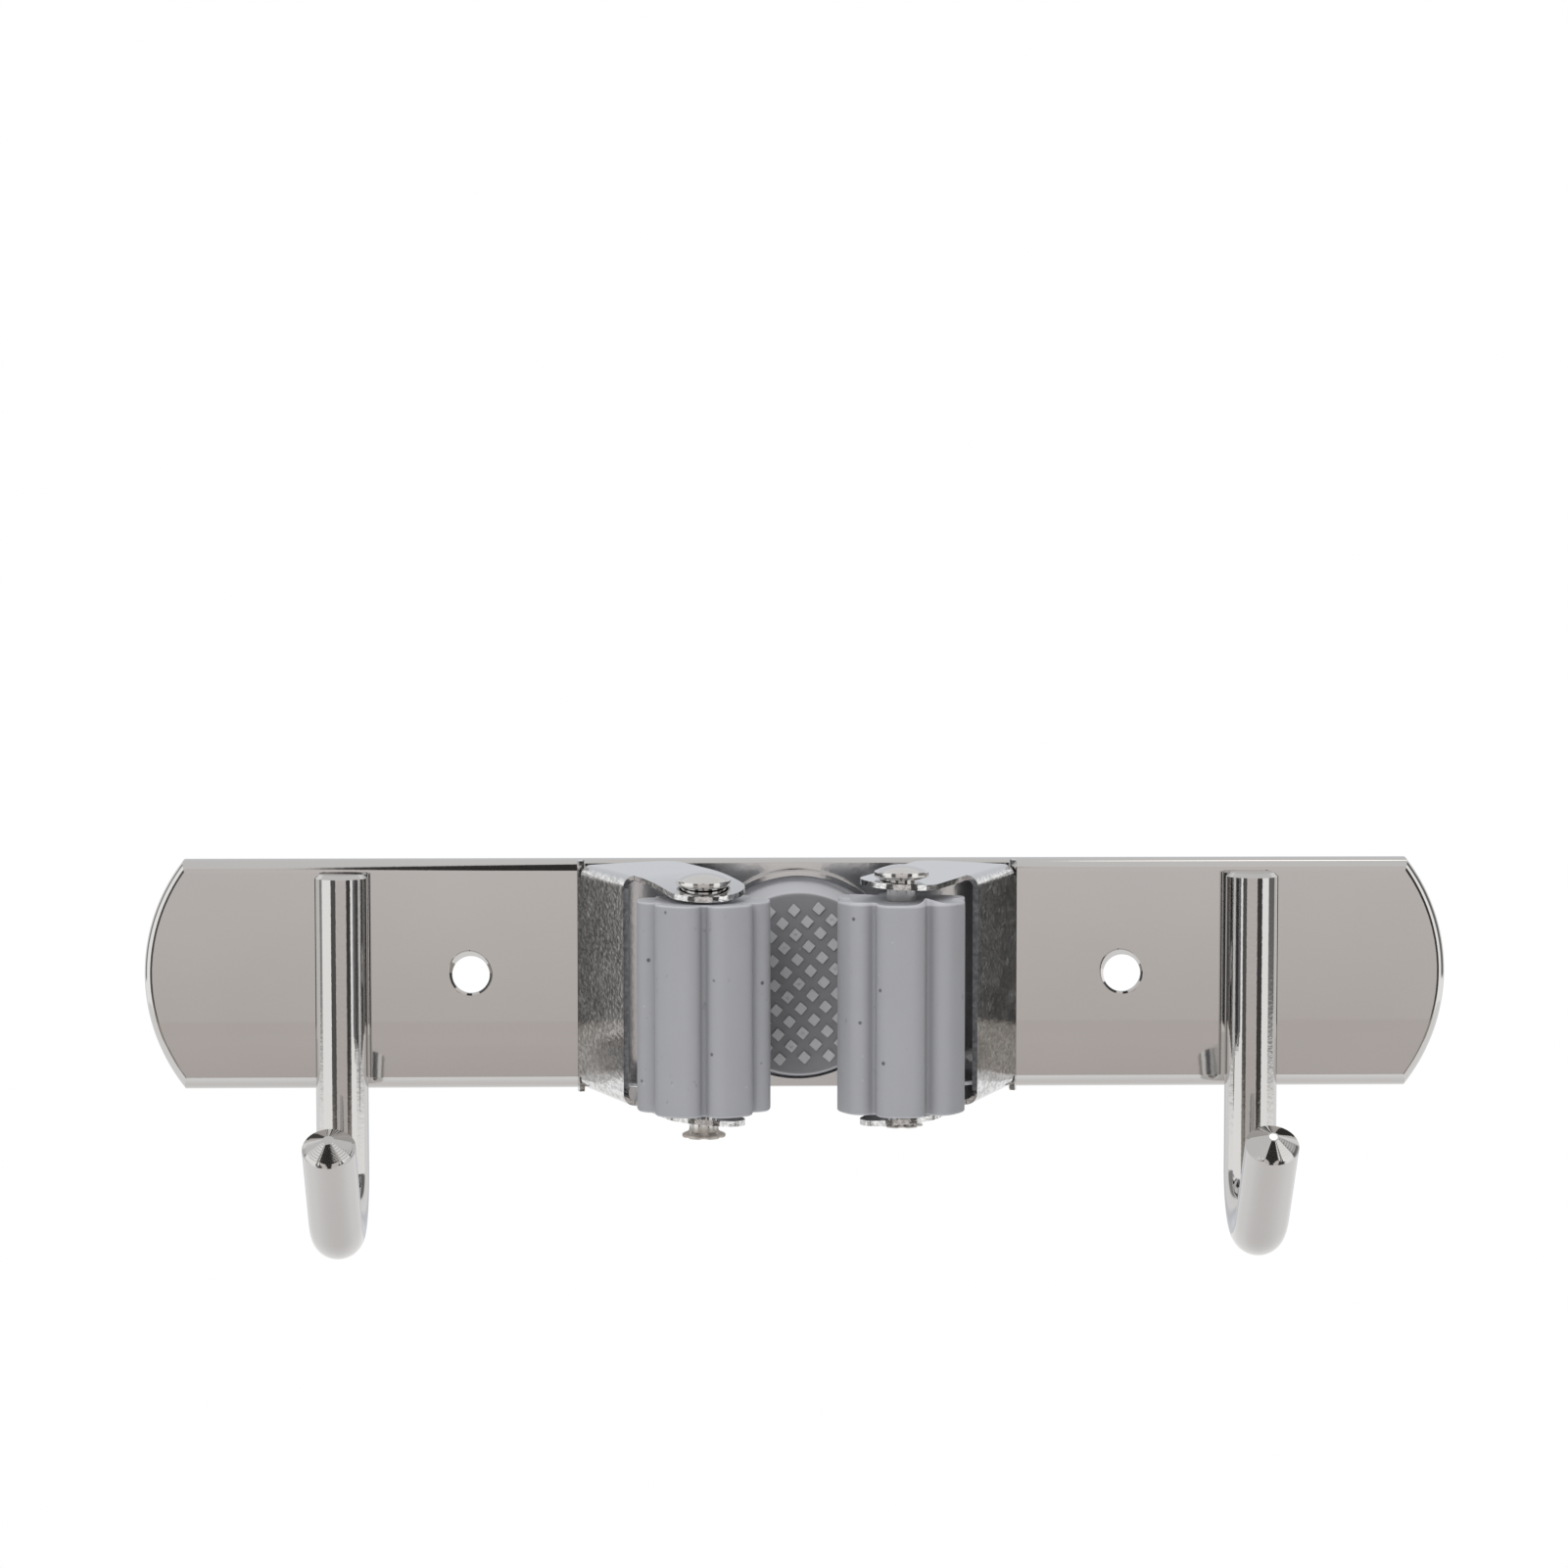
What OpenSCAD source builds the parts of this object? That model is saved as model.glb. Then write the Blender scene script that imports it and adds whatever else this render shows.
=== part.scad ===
// Wall rack: a pressed steel plate with two rod hooks and one sprung clip that holds a mop handle.
// All sizes are millimetres. X runs along the plate, Z is up, the wall is behind at +Y.
// The origin is midway between the two screw holes, on the back face of the plate's web.

/* [Back plate] */
// length of the plate over its arc ends
plate_length = 226; // [190:1:300]
// height of the plate
plate_height = 40; // [38:0.5:56]
// sheet thickness of the plate
plate_sheet = 1; // [0.8:0.1:1.4]
// depth from the front face to the back edge of the turned rim
plate_depth = 3; // [2.6:0.1:6]
// outside radius where the long edges turn back
edge_radius = 2.2; // [1.6:0.1:2.5]
// outside radius of the lip round the arc ends
end_lip_radius = 1.5; // [1.4:0.1:2.5]
// how far each end bulges past its corners
end_bulge = 7; // [4:0.5:12]
// distance between the two screw holes
hole_spacing = 113; // [104:1:124]
// diameter of the screw holes
hole_diameter = 6.5; // [4.5:0.1:7]
// lead-in cut round the front of each screw hole
hole_lead_in = 0.5; // [0.2:0.05:0.7]

/* [Hooks] */
// distance between the two hook rods
hook_spacing = 157; // [146:1:170]
// diameter of the hook rod
rod_diameter = 9; // [7:0.25:10]
// height of the rod's top above the middle of the plate
rod_top = 18; // [14:0.5:20]
// chamfer on the rod's top end
rod_chamfer = 0.7; // [0.3:0.1:1.2]
// depth of the flat by which the rod is welded to the plate
weld_flat = 0.3; // [0.2:0.05:0.5]
// depth of the hook's lowest point below the middle of the plate
hook_drop = 47; // [42:0.5:60]
// centre line radius of the bend
hook_bend = 9; // [8:0.25:12]
// lean of the tip away from upright, in degrees
tip_lean = 38; // [20:1:45]
// straight length of the tip after the bend
tip_length = 17.5; // [10:0.5:22]
// height of the blunt cone on the tip
tip_cone = 2.1; // [0.5:0.1:4]
// diameter of the flat on that cone
tip_flat = 1.9; // [1:0.1:4]

/* [Clip] */
// width of the clip over its two walls at the plate
clip_width = 76; // [70:1:84]
// height of the clip's flat base
clip_height = 38.8; // [36:0.2:42]
// sheet thickness of the clip
clip_sheet = 0.9; // [0.7:0.05:1]
// inside radius of the bend between base and wall
wall_bend = 1; // [0.8:0.1:1.5]
// lean of the walls towards each other, in degrees
wall_lean = 21; // [15:1:25]
// length of each wall along its slope
wall_length = 22.8; // [20:0.2:26]
// inside radius of the bend between wall and ear
ear_bend = 1.1; // [0.8:0.1:1.6]
// opening of the top ears past a right angle, in degrees
top_ear_open = 3; // [0:0.5:6]
// opening of the bottom ears past a right angle, in degrees
bottom_ear_open = 6; // [0:0.5:8]
// width of the unbent tab beside the base
tab_width = 0.7; // [0.4:0.1:1.2]
// how far the tab stands past the base
tab_rise = 0.6; // [0.3:0.1:0.9]
// width of the relief notch between tab and ear
notch_width = 0.8; // [0.5:0.1:1.2]
// radius of the ear's nose round the rivet
nose_radius = 6.8; // [5.5:0.1:8]
// radius of the ear's rear shoulder
shoulder_radius = 5.4; // [4:0.2:7]
// distance of the shoulder's centre from the middle of the clip
shoulder_reach = 25; // [23:0.5:27]
// gap between the ear's rear edge and the base
ear_clear = 1.8; // [1.4:0.1:2.4]
// outward swing of the wings that the bend line leaves free, in degrees
wing_swing = 10; // [6:1:12]

/* [Rollers] */
// distance between the two roller axes
roller_spacing = 32.6; // [30:0.2:36]
// distance of the roller axes in front of the plate
roller_reach = 35; // [32:0.5:38]
// diameter of the rollers over their lobes
roller_diameter = 22; // [19:0.5:23]
// length of the rollers
roller_length = 34.6; // [32:0.2:36]
// number of lobes round a roller
lobe_count = 6; // [5:1:8]
// radius of the groove's bottom
groove_radius = 0.5; // [0.4:0.1:1.4]
// distance of the groove's centre from the roller's surface
groove_sink = 1.9; // [1.3:0.1:2.2]
// radius that rounds each lobe into the groove
lobe_shoulder = 2.7; // [0.6:0.1:3.2]
// gap below the rollers, beside the wall
roller_seat = 0.3; // [0.2:0.05:0.5]
// gap above the rollers, beside the wall
roller_play = 2.1; // [1.2:0.1:3]
// gap that is left above the left roller, where the ear is pressed down onto it
pressed_gap = 0.4; // [0.3:0.05:1]

/* [Rivets] */
// diameter of the roller rivets
rivet_diameter = 4.8; // [4:0.1:5.2]
// radial clearance of the roller on its rivet
running_clearance = 0.06; // [0.03:0.01:0.1]
// radial clearance of a rivet in sheet steel
rivet_clearance = 0.05; // [0.03:0.01:0.1]
// diameter of the rivet's head
head_diameter = 9; // [7.5:0.25:10.5]
// height of the head's rim
head_height = 1.4; // [1.1:0.1:2]
// rounding above the head's rim
head_round = 0.6; // [0.3:0.1:0.9]
// rounding under the head's rim
head_under = 0.4; // [0.2:0.1:0.5]
// rise of the dome on the head
head_dome = 0.7; // [0.3:0.1:1.2]
// end play of the rivet between its head and its clinched end, over open ears
rivet_play = 0.6; // [0.4:0.1:1.8]
// diameter of the star-clinched end
star_diameter = 7.2; // [6.6:0.1:8]
// thickness of the star-clinched end
star_height = 1.1; // [0.8:0.1:1.6]
// number of points on the star
star_points = 6; // [5:1:8]

/* [Pad] */
// diameter of the pad where it leaves its cup
pad_diameter = 33.4; // [30:0.2:34]
// diameter of the pad's front face
pad_face_diameter = 31.6; // [28:0.2:32]
// height of the pad's front face above the plate
pad_reach = 14.2; // [12:0.2:15]
// rounding of the pad's front edge
pad_round = 0.9; // [0.5:0.1:1.5]
// diagonal of one raised diamond
stud_diagonal = 2.3; // [1.8:0.1:2.6]
// height of the raised diamonds
stud_height = 0.5; // [0.3:0.1:0.8]
// pitch of the diamonds along a row
stud_pitch = 4.2; // [3.8:0.1:5]
// turn of the diamond pattern, in degrees
stud_turn = 4; // [-10:1:10]
// thickness of the pad's foot inside the cup
pad_foot = 1.6; // [1.2:0.1:2.2]
// diameter of the hollow in the pad's back
pad_hollow = 23; // [20:0.5:25]
// depth of the hollow in the pad's back
pad_hollow_depth = 3; // [2:0.1:5]
// outside diameter of the pad's cup
cup_diameter = 36.8; // [36:0.2:37.6]
// sheet thickness of the cup
cup_sheet = 0.8; // [0.6:0.05:1]
// height of the cup
cup_height = 4; // [3:0.2:6]
// clearance of the pad's foot in the cup
cup_clearance = 0.05; // [0.03:0.01:0.15]
// distance between the two rivets that hold cup and clip to the plate
clip_rivet_spacing = 14; // [10:0.5:16]
// diameter of those rivets
clip_rivet_diameter = 3.2; // [2.4:0.1:4]
// diameter of their flat heads
clip_rivet_head = 5.6; // [5:0.1:6.4]
// height of their flat heads
clip_rivet_head_height = 1; // [0.6:0.1:1.4]

/* [Shown piece] */
// piece to draw, or all

/* [Hidden] */
$fn = 96;
past = 1;
seam = 0.02;
end_radius = (plate_height * plate_height / 4 + end_bulge * end_bulge) / (2 * end_bulge);
end_centre = plate_length / 2 - end_radius;
rod_radius = rod_diameter / 2;
rod_reach = rod_radius - weld_flat;
bend_height = hook_bend + rod_radius - hook_drop;
bend_turn = 180 - tip_lean;
bend_outer = wall_bend + clip_sheet;
ear_outer = ear_bend + clip_sheet;
bend_x = clip_width / 2 - bend_outer;
wing_root = 45;
lip_start = wing_root + wing_swing + 11;
tab_half = clip_height / 2 + tab_rise;
ear_half = (roller_length + roller_seat + roller_play) / 2 + clip_sheet;
fold_half = ear_half - ear_outer;
fold_out = wall_bend - ear_bend;
ear_start = tab_width + notch_width;
roller_x = roller_spacing / 2;
roller_radius = roller_diameter / 2;
rivet_radius = rivet_diameter / 2;
roller_foot = roller_seat + clip_sheet - ear_half;
nose = [roller_x, -roller_reach];
shoulder = [shoulder_reach, -clip_sheet - ear_clear - shoulder_radius];
cup_floor = clip_sheet + cup_sheet;
cup_inside = cup_diameter / 2 - cup_sheet;
press_start = wall_length + clip_sheet;
press_steps = 12;
nose_overhang = along(nose) + nose_radius - press_start;
nose_front = on_wall(press_start + nose_overhang, outwards(nose));
pressed_droop = ear_face(nose_front, top_ear_open, 0) - clip_sheet / cos(top_ear_open)
  - roller_foot - roller_length - pressed_gap;
rivet_seat = rivet_clearance + ear_top(star_diameter / 2, bottom_ear_open, 0);
rivet_grip = rivet_seat + rivet_play + rivet_clearance + ear_top(head_diameter / 2, top_ear_open, 0);

// point in the wing's plan: along the wall, then outwards from the bend's centre
function on_wall(along, out) = [
  bend_x - along * sin(wall_lean) + out * cos(wall_lean),
  -bend_outer - along * cos(wall_lean) - out * sin(wall_lean)];

// the same two distances of a point of the plan
function along(p) = (bend_x - p[0]) * sin(wall_lean) - (p[1] + bend_outer) * cos(wall_lean);
function outwards(p) = (p[0] - bend_x) * cos(wall_lean) - (p[1] + bend_outer) * sin(wall_lean);

// height of an ear's outer face over a point of the plan; droop is that of the nose's front
function ear_face(p, open, droop) =
  let (share = max(0, along(p) - press_start) / nose_overhang)
  fold_half + ear_outer / cos(open) + (fold_out - outwards(p)) * tan(open) - droop * share * share;

// highest point of an ear's outer face under a rivet's rim
function ear_top(radius, open, droop) =
  max([for (turn = [0 : 15 : 345]) ear_face(nose + radius * [cos(turn), sin(turn)], open, droop)]);

// where the outer tangent of two circles touches the second one; side is 1 or -1
function tangent(c1, r1, c2, r2, side) =
  let (d = c2 - c1, turn = atan2(d[1], d[0]) + side * acos((r1 - r2) / norm(d)))
  c2 + r2 * [cos(turn), sin(turn)];

// flat section with its two front corners rounded; the front is at x = 0
module rounded_front(depth, height, radius) {
  translate([radius, -height / 2]) square([depth - radius, height]);
  translate([0, radius - height / 2]) square([depth, height - 2 * radius]);
  for (side = [-1, 1])
    translate([radius, side * (height / 2 - radius)]) circle(radius);
}

// half section of a disc with its front rim rounded; the front is at y = 0
module rounded_disc(radius, depth, lip) {
  square([radius - lip, depth]);
  translate([0, lip]) square([radius, depth - lip]);
  translate([radius - lip, lip]) circle(lip);
}

// outline of the plate moved inwards by an inset
module plate_form(inset, depth) {
  edge = max(edge_radius - inset, 0.2);
  lip = max(end_lip_radius - inset, 0.2);
  translate([0, inset - plate_sheet, 0])
    intersection() {
      translate([-plate_length / 2 - past, 0, 0])
        rotate([90, 0, 90])
          linear_extrude(plate_length + 2 * past)
            rounded_front(depth, plate_height - 2 * inset, edge);
      union() {
        translate([-end_centre, 0, -plate_height / 2])
          cube([2 * end_centre, depth, plate_height]);
        for (side = [-1, 1])
          translate([side * end_centre, 0, 0])
            rotate([-90, 0, 0])
              rotate_extrude()
                rounded_disc(end_radius - inset, depth, lip);
      }
    }
}

// pair of round cuts along Y at the two rivets that hold the clip
module clip_rivet_holes() {
  for (side = [-1, 1])
    translate([0, plate_depth, side * clip_rivet_spacing / 2])
      rotate([90, 0, 0])
        cylinder(r = clip_rivet_diameter / 2 + rivet_clearance, h = plate_depth + pad_reach);
}

module back_plate() {
  color("silver")
    difference() {
      plate_form(0, plate_depth);
      plate_form(plate_sheet, plate_depth + past);
      for (side = [-1, 1])
        translate([side * hole_spacing / 2, 0, 0]) {
          translate([0, past, 0])
            rotate([90, 0, 0])
              cylinder(d = hole_diameter, h = plate_sheet + 2 * past);
          translate([0, hole_lead_in - plate_sheet, 0])
            rotate([90, 0, 0])
              cylinder(d1 = hole_diameter, d2 = hole_diameter + 4 * hole_lead_in, h = 2 * hole_lead_in);
        }
      clip_rivet_holes();
    }
}

// one J-shaped rod, flattened where it is welded to the plate
module hook(side) {
  color("lightsteelblue")
    translate([side * hook_spacing / 2, -plate_sheet, 0])
      difference() {
        union() {
          translate([0, -rod_reach, bend_height]) {
            translate([0, 0, -seam])
              cylinder(r = rod_radius, h = rod_top - rod_chamfer - bend_height + seam);
            translate([0, 0, rod_top - rod_chamfer - bend_height])
              cylinder(r1 = rod_radius, r2 = rod_radius - rod_chamfer, h = rod_chamfer);
            translate([0, -hook_bend, 0])
              rotate([90, 0, 90])
                rotate([0, 0, -bend_turn])
                  rotate_extrude(angle = bend_turn)
                    translate([hook_bend, 0]) circle(rod_radius);
          }
          translate([0, -rod_reach - hook_bend, bend_height])
            rotate([tip_lean, 0, 0])
              translate([0, -hook_bend, -seam]) {
                cylinder(r = rod_radius, h = tip_length + seam);
                translate([0, 0, tip_length + seam])
                  cylinder(r1 = rod_radius, r2 = tip_flat / 2, h = tip_cone);
              }
        }
        translate([-rod_diameter, 0, -plate_height / 2])
          cube([2 * rod_diameter, rod_diameter, plate_height]);
      }
}

module left_hook() hook(-1);

module right_hook() hook(1);

// strip of the bend between base and wall, between two angles from the wall's outward side
module bend_strip(from, to, half) {
  translate([bend_x, -bend_outer, -half])
    rotate([0, 0, from])
      rotate_extrude(angle = to - from)
        translate([wall_bend, 0]) square([clip_sheet, 2 * half]);
}

module clip_base() {
  color("gainsboro")
    difference() {
      translate([0, -plate_sheet, 0]) {
        translate([-bend_x - seam, -clip_sheet, -clip_height / 2])
          cube([2 * (bend_x + seam), clip_sheet, clip_height]);
        for (side = [0, 1])
          mirror([side, 0, 0]) bend_strip(lip_start, 90, clip_height / 2);
      }
      clip_rivet_holes();
    }
}

// plan of the right ear: wall edge, diagonal front edge, nose and rear shoulder
module ear_plan() {
  front = on_wall(wall_length, fold_out);
  rear = on_wall(ear_start, fold_out);
  polygon([
    on_wall(ear_start, bend_outer + past),
    on_wall(wall_length + past, bend_outer + past),
    front,
    tangent(front, 0, nose, nose_radius, 1),
    nose,
    tangent(shoulder, shoulder_radius, nose, nose_radius, -1),
    tangent(nose, nose_radius, shoulder, shoulder_radius, 1),
    tangent(rear, 0, shoulder, shoulder_radius, -1),
    rear]);
  translate(nose) circle(nose_radius);
  translate(shoulder) circle(shoulder_radius);
}

// what follows in the wall's own place: X along the wall, Y outwards
module at_wall() {
  translate([bend_x, -bend_outer, 0])
    rotate([0, 0, -90 - wall_lean]) children();
}

// filled section across the wall and both ears, up to a radius of the folds
module ear_section(inset, radius) {
  translate([inset, -fold_half]) square([clip_width, 2 * fold_half]);
  for (end = [0, 1])
    mirror([0, end])
      translate([ear_outer, fold_half]) {
        circle(radius);
        rotate(end == 0 ? top_ear_open : bottom_ear_open)
          translate([0, -ear_outer]) square([clip_width, ear_outer + radius]);
      }
}

// wall and two ears folded from one sheet, as a channel along the wall
module ear_channel() {
  at_wall()
    rotate([90, 0, 90])
      linear_extrude(wall_length)
        translate([bend_outer, 0])
          mirror([1, 0])
            difference() {
              ear_section(0, ear_outer);
              ear_section(clip_sheet, ear_bend);
            }
}

// one ear's sheet past the wall's front edge; it bends down by droop at the nose
module ear_nose(open, droop) {
  steps = droop > 0 ? press_steps : 1;
  reach = 1.3 * nose_overhang;
  line = concat(
    [[press_start - 3 * clip_sheet, 0]],
    [for (n = [0 : steps]) let (share = n / steps * reach / nose_overhang)
      [press_start + n / steps * reach, -droop * share * share]]);
  at_wall()
    translate([0, fold_out, fold_half])
      rotate([-open, 0, 0])
        rotate([90, 0, 0])
          linear_extrude(clip_width)
            translate([0, ear_outer])
              polygon(concat(line, [for (n = [len(line) - 1 : -1 : 0]) line[n] - [0, clip_sheet]]));
}

// flat stretch of the wall beside the bend
module wall_strip(width, half) {
  translate([bend_x, -bend_outer, -half])
    rotate([0, 0, -90 - wall_lean])
      translate([0, wall_bend, 0])
        cube([width, clip_sheet, 2 * half]);
}

module wing(droop) {
  color("gainsboro")
    translate([0, -plate_sheet, 0])
      difference() {
        union() {
          bend_strip(-wall_lean, wing_root, tab_half);
          wall_strip(tab_width, tab_half);
          wall_strip(ear_start + past, fold_half);
          intersection() {
            union() {
              ear_channel();
              ear_nose(top_ear_open, droop);
              mirror([0, 0, 1]) ear_nose(bottom_ear_open, 0);
            }
            translate([0, 0, -2 * ear_half])
              linear_extrude(4 * ear_half) ear_plan();
          }
        }
        translate([roller_x, -roller_reach, -2 * ear_half])
          cylinder(r = rivet_radius + rivet_clearance, h = 4 * ear_half);
      }
}

module left_wing() mirror([1, 0, 0]) wing(pressed_droop);

module right_wing() wing(0);

// half section of the rivet's domed head; its top is at y = 0
module rivet_head() {
  crown = head_diameter / 2 - head_round;
  arch = (crown * crown + head_dome * head_dome) / (2 * head_dome);
  translate([0, head_dome]) {
    rounded_disc(head_diameter / 2, head_height - head_under, head_round);
    square([head_diameter / 2 - head_under, head_height]);
    translate([head_diameter / 2 - head_under, head_height - head_under]) circle(head_under);
  }
  intersection() {
    square([crown, head_dome + seam]);
    translate([0, arch]) circle(arch);
  }
}

// roller rivet with a domed head above and a star-clinched hollow end below
module roller_rivet(side, under_head) {
  star_top = under_head - rivet_grip;
  color("whitesmoke")
    translate([side * roller_x, -plate_sheet - roller_reach, 0])
      difference() {
        union() {
          translate([0, 0, star_top - star_height])
            cylinder(r = rivet_radius, h = rivet_grip + star_height + head_height / 2);
          translate([0, 0, under_head + head_height + head_dome])
            rotate([180, 0, 0])
              rotate_extrude() rivet_head();
          difference() {
            translate([0, 0, star_top - star_height])
              cylinder(d = star_diameter, h = star_height);
            for (n = [0 : star_points - 1])
              rotate([0, 0, (n + 0.5) * 360 / star_points])
                translate([star_diameter / 2 + 0.25 * rivet_radius, 0, star_top - star_height - past])
                  cylinder(r = 0.5 * rivet_radius, h = star_height + 2 * past);
          }
        }
        translate([0, 0, star_top - star_height - past])
          cylinder(r = 0.6 * rivet_radius, h = star_height + past);
      }
}

module left_rivet()
  roller_rivet(-1, ear_top(head_diameter / 2, top_ear_open, pressed_droop) + rivet_clearance);

module right_rivet() roller_rivet(1, rivet_grip - rivet_seat);

// cut that makes one groove, with both lobe shoulders rounded into it
module groove() {
  groove_x = roller_radius - groove_sink;
  shoulder_x = roller_radius - lobe_shoulder;
  reach = groove_radius + lobe_shoulder;
  half = acos((groove_x * groove_x + shoulder_x * shoulder_x - reach * reach) / (2 * groove_x * shoulder_x));
  translate([groove_x, 0]) circle(groove_radius + seam);
  difference() {
    polygon([
      [groove_x, 0],
      shoulder_x * [cos(half), -sin(half)],
      2 * roller_radius * [cos(half), -sin(half)],
      2 * roller_radius * [cos(half), sin(half)],
      shoulder_x * [cos(half), sin(half)]]);
    for (side = [-1, 1])
      rotate(side * half) translate([shoulder_x, 0]) circle(lobe_shoulder + seam);
  }
}

// lobed rubber roller; turn sets which way its lobes face
module roller(side, turn) {
  color("slategray")
    translate([side * roller_x, -plate_sheet - roller_reach, roller_foot])
      rotate([0, 0, turn])
        linear_extrude(roller_length)
          difference() {
            circle(roller_radius);
            for (n = [0 : lobe_count - 1])
              rotate(n * 360 / lobe_count) groove();
            circle(rivet_radius + running_clearance);
          }
}

module left_roller() roller(-1, -90);

module right_roller() roller(1, -90 + 180 / lobe_count);

module pad_cup() {
  color("gainsboro")
    difference() {
      translate([0, -plate_sheet - clip_sheet, 0])
        rotate([90, 0, 0])
          rotate_extrude()
            difference() {
              rounded_disc(cup_diameter / 2, cup_height, 1.5 * cup_sheet);
              translate([0, cup_sheet])
                rounded_disc(cup_inside, cup_height, 0.5 * cup_sheet);
            }
      clip_rivet_holes();
    }
}

// rows of raised diamonds that fit inside the pad's face
module pad_studs() {
  fits = pad_face_diameter / 2 - pad_round - stud_diagonal / 2;
  count = ceil(pad_face_diameter / stud_pitch);
  rotate(stud_turn)
    for (row = [-2 * count : 2 * count])
      for (column = [-count : count])
        let (place = stud_pitch * [column + (row % 2 == 0 ? 0 : 0.5), row / 2])
          if (norm(place) < fits)
            translate(place) rotate(45) square(stud_diagonal / sqrt(2), center = true);
}

module grip_pad() {
  foot = cup_inside - cup_clearance;
  low = cup_floor + pad_foot;
  face = pad_face_diameter / 2;
  color("dimgray")
    translate([0, -plate_sheet, 0])
      rotate([90, 0, 0]) {
        rotate_extrude()
          difference() {
            union() {
              translate([0, cup_floor + 0.5 * cup_sheet]) square([foot, pad_foot - 0.5 * cup_sheet]);
              translate([0, cup_floor]) square([foot - 0.5 * cup_sheet, pad_foot]);
              polygon([[0, low], [pad_diameter / 2, low], [face, pad_reach - pad_round],
                [face - pad_round, pad_reach], [0, pad_reach]]);
              translate([face - pad_round, pad_reach - pad_round]) circle(pad_round);
            }
            translate([0, cup_floor - past]) square([pad_hollow / 2, pad_hollow_depth + past]);
          }
        translate([0, 0, pad_reach - past])
          linear_extrude(stud_height + past) pad_studs();
      }
}

// two flat rivets through cup, clip base and plate
module clip_rivets() {
  color("whitesmoke")
    for (side = [-1, 1])
      translate([0, 0, side * clip_rivet_spacing / 2])
        rotate([90, 0, 0]) {
          cylinder(d = clip_rivet_diameter, h = plate_sheet + cup_floor);
          translate([0, 0, -clip_rivet_head_height])
            cylinder(d = clip_rivet_head, h = clip_rivet_head_height);
          translate([0, 0, plate_sheet + cup_floor])
            cylinder(d = clip_rivet_head, h = clip_rivet_head_height);
        }
}

back_plate();
left_hook();
right_hook();
clip_base();
left_wing();
right_wing();
left_rivet();
right_rivet();
left_roller();
right_roller();
pad_cup();
grip_pad();
clip_rivets();
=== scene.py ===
"""Looks of the wall rack: polished steel plate, hooks and clip, grey rubber rollers and pad."""

from math import acos, atan2, cos, degrees, exp, hypot, pi, radians, sin, sqrt, tan

import bmesh
import bpy
from mathutils import Matrix, Vector


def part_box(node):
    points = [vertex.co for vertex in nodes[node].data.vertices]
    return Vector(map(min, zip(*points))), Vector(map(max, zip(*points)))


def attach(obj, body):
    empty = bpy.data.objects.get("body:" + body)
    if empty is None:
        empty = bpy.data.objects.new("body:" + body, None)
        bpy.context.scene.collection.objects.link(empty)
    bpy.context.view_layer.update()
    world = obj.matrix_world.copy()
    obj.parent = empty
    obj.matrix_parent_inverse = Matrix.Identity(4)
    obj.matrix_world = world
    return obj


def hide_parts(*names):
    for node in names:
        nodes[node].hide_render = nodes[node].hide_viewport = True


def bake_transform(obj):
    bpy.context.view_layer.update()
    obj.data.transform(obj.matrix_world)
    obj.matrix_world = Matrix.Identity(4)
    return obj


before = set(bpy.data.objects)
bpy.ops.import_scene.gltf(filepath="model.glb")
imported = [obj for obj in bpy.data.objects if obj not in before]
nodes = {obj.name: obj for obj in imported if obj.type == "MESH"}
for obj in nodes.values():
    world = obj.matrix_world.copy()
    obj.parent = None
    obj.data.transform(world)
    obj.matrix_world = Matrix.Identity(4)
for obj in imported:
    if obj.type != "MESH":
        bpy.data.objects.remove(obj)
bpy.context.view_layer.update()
scene = bpy.context.scene

# units in metres
MM = 0.001
MICRON = 0.000001

# sizes in millimetres and degrees, the same as in the part's source
PLATE_SHEET = 1.0
HOLE_SPACING = 113.0
HOLE_RADIUS = 3.25
HOOK_SPACING = 157.0
HOOK_DROP = 47.0
HOOK_BEND = 9.0
ROD_RADIUS = 4.5
WELD_FLAT = 0.3
TIP_LEAN = 38.0
TIP_LENGTH = 17.5
TIP_CONE = 2.1
TIP_FLAT_RADIUS = 0.95
CLIP_WIDTH = 76.0
CLIP_SHEET = 0.9
WALL_BEND = 1.0
WING_ROOT = 45.0
LIP_START = 66.0
ROLLER_X = 16.3
ROLLER_REACH = 35.0
ROLLER_RADIUS = 11.0
ROLLER_LENGTH = 34.6
ROLLER_SEAT = 0.3
ROLLER_PLAY = 2.1
LOBE_COUNT = 6
LOBE_SHOULDER = 2.7
GROOVE_RADIUS = 0.5
GROOVE_SINK = 1.9
BORE_RADIUS = 2.46
RIVET_RADIUS = 2.4
HEAD_RADIUS = 4.5
HEAD_HEIGHT = 1.4
HEAD_DOME = 0.7
STAR_RADIUS = 3.6
STAR_HEIGHT = 1.1
STAR_POINTS = 6
CUP_SHEET = 0.8
CUP_INSIDE = 17.6
PAD_RADIUS = 16.7
PAD_FACE_RADIUS = 15.8
PAD_REACH = 14.2
PAD_ROUND = 0.9
PAD_FOOT = 1.6
PAD_HOLLOW_RADIUS = 11.5
PAD_HOLLOW_DEPTH = 3.0
STUD_DIAGONAL = 2.3
STUD_HEIGHT = 0.5
STUD_PITCH = 4.2
STUD_TURN = 4.0

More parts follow.
